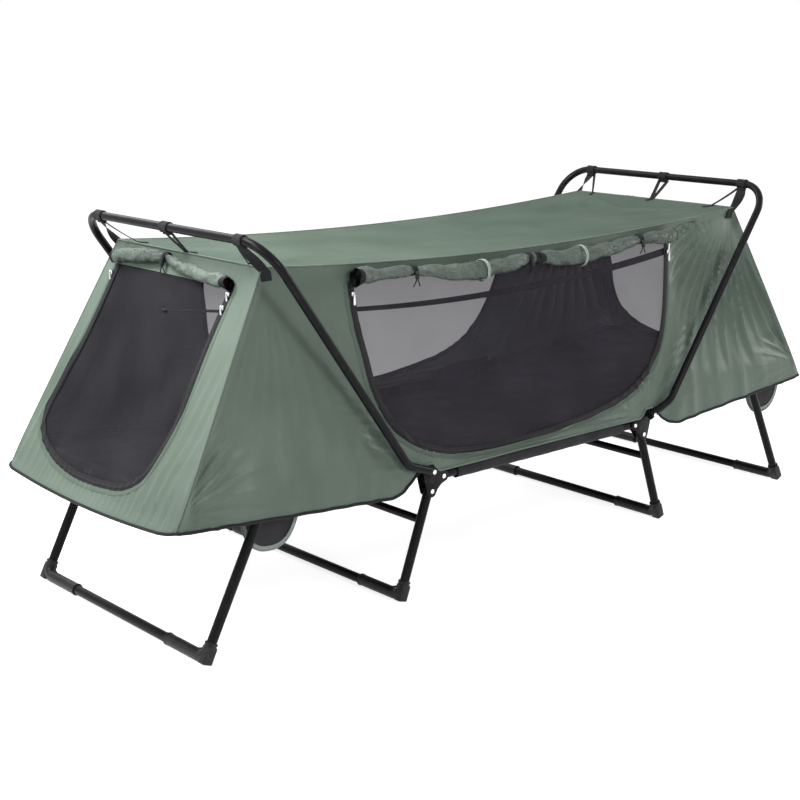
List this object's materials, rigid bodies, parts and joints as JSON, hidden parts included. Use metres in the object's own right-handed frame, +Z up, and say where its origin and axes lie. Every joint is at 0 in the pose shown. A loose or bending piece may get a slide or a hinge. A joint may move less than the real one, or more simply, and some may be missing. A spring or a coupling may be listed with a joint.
{
  "type": "tent cot",
  "caption": "Folding camp bed on U-shaped legs with its own low tent, a cloth canopy with mesh doors and end windows slung between two hinged hoops.",
  "frame": {"origin": "middle of the bed, on the ground that the corner feet stand on", "axes": "+X along the bed towards the foot end, +Y to the far side, +Z up"},
  "size_m": [2.134, 0.7384, 0.8688],
  "materials": {
    "black_steel": "semi-gloss black powder coat",
    "plate_steel": "semi-gloss black",
    "rivet_steel": "bright zinc-plated rivet",
    "black_plastic": "matt black moulding",
    "green_nylon": "coated nylon cloth, satin",
    "black_mesh": "fine black insect mesh",
    "bed_cloth": "matt black woven cloth",
    "webbing": "black webbing",
    "pocket_cloth": "charcoal cloth with a grey binding",
    "zip_metal": "plated zip slider"
  },
  "bodies": {
    "bed_middle": {"rail_near": "black_steel", "rail_far": "black_steel", "bed_mid": "bed_cloth", "roof": "green_nylon", "wall_near": "green_nylon", "wall_far": "green_nylon", "end_head": "green_nylon", "end_foot": "green_nylon", "mesh_near": "black_mesh", "mesh_far": "black_mesh", "mesh_head": "black_mesh", "mesh_foot": "black_mesh", "roll_near": "green_nylon", "roll_far": "green_nylon", "roll_head": "green_nylon", "roll_foot": "green_nylon", "zip_pull_head": "zip_metal", "zip_pull_foot": "zip_metal", "plate_outer_near_head": "plate_steel", "plate_inner_near_head": "plate_steel", "leg_rivet_near_head": "rivet_steel", "hoop_rivet_near_head": "rivet_steel", "plate_outer_far_head": "plate_steel", "plate_inner_far_head": "plate_steel", "leg_rivet_far_head": "rivet_steel", "hoop_rivet_far_head": "rivet_steel", "plate_outer_near_foot": "plate_steel", "plate_inner_near_foot": "plate_steel", "leg_rivet_near_foot": "rivet_steel", "hoop_rivet_near_foot": "rivet_steel", "plate_outer_far_foot": "plate_steel", "plate_inner_far_foot": "plate_steel", "leg_rivet_far_foot": "rivet_steel", "hoop_rivet_far_foot": "rivet_steel"},
    "head_section": {"head_frame": "black_steel", "bed_head": "bed_cloth", "pocket_head": "pocket_cloth"},
    "head_hoop_body": {"head_hoop": "black_steel", "strap_head_near": "webbing", "strap_head_middle": "webbing", "strap_head_far": "webbing"},
    "head_mid_leg_body": {"head_mid_leg": "black_steel", "cap_head_mid_near": "black_plastic", "cap_head_mid_far": "black_plastic"},
    "head_end_leg_body": {"head_end_leg": "black_steel", "cap_head_end_near": "black_plastic", "cap_head_end_far": "black_plastic"},
    "foot_section": {"foot_frame": "black_steel", "bed_foot": "bed_cloth", "pocket_foot": "pocket_cloth"},
    "foot_hoop_body": {"foot_hoop": "black_steel", "strap_foot_near": "webbing", "strap_foot_middle": "webbing", "strap_foot_far": "webbing"},
    "foot_mid_leg_body": {"foot_mid_leg": "black_steel", "cap_foot_mid_near": "black_plastic", "cap_foot_mid_far": "black_plastic"},
    "foot_end_leg_body": {"foot_end_leg": "black_steel", "cap_foot_end_near": "black_plastic", "cap_foot_end_far": "black_plastic"}
  },
  "joints": [
    {"name": "head_section_fold", "type": "hinge", "parent": "bed_middle", "child": "head_section", "pos_m": [-0.387, 0, 0.301], "axis": [0, 1, 0], "range_deg": [0, 174], "deforming": ["end_head", "mesh_head", "roll_head", "wall_near", "wall_far", "roof", "zip_pull_head"]},
    {"name": "head_hoop_fold", "type": "hinge", "parent": "bed_middle", "child": "head_hoop_body", "pos_m": [-0.387, 0, 0.301], "axis": [0, 1, 0], "range_deg": [0, 122], "deforming": ["strap_head_near", "strap_head_middle", "strap_head_far"]},
    {"name": "head_mid_leg_fold", "type": "hinge", "parent": "bed_middle", "child": "head_mid_leg_body", "pos_m": [-0.373, 0, 0.247], "axis": [0, -1, 0], "range_deg": [0, 100]},
    {"name": "head_end_leg_fold", "type": "hinge", "parent": "head_section", "child": "head_end_leg_body", "pos_m": [-0.84499, 0, 0.29995], "axis": [0, -1, 0], "range_deg": [0, 104]},
    {"name": "foot_section_fold", "type": "hinge", "parent": "bed_middle", "child": "foot_section", "pos_m": [0.387, 0, 0.301], "axis": [0, -1, 0], "range_deg": [0, 157], "deforming": ["end_foot", "mesh_foot", "roll_foot", "mesh_near", "mesh_far", "roll_near", "roll_far", "zip_pull_foot"]},
    {"name": "foot_hoop_fold", "type": "hinge", "parent": "bed_middle", "child": "foot_hoop_body", "pos_m": [0.387, 0, 0.301], "axis": [0, -1, 0], "range_deg": [0, 97], "deforming": ["strap_foot_near", "strap_foot_middle", "strap_foot_far"]},
    {"name": "foot_mid_leg_fold", "type": "hinge", "parent": "bed_middle", "child": "foot_mid_leg_body", "pos_m": [0.373, 0, 0.247], "axis": [0, 1, 0], "range_deg": [0, 100]},
    {"name": "foot_end_leg_fold", "type": "hinge", "parent": "foot_section", "child": "foot_end_leg_body", "pos_m": [0.84499, 0, 0.29995], "axis": [0, 1, 0], "range_deg": [0, 104]}
  ],
  "couplings": [
    {"joint": "head_hoop_fold", "follows": "head_section_fold", "ratio": 0.70115},
    {"joint": "foot_hoop_fold", "follows": "foot_section_fold", "ratio": 0.61783}
  ]
}
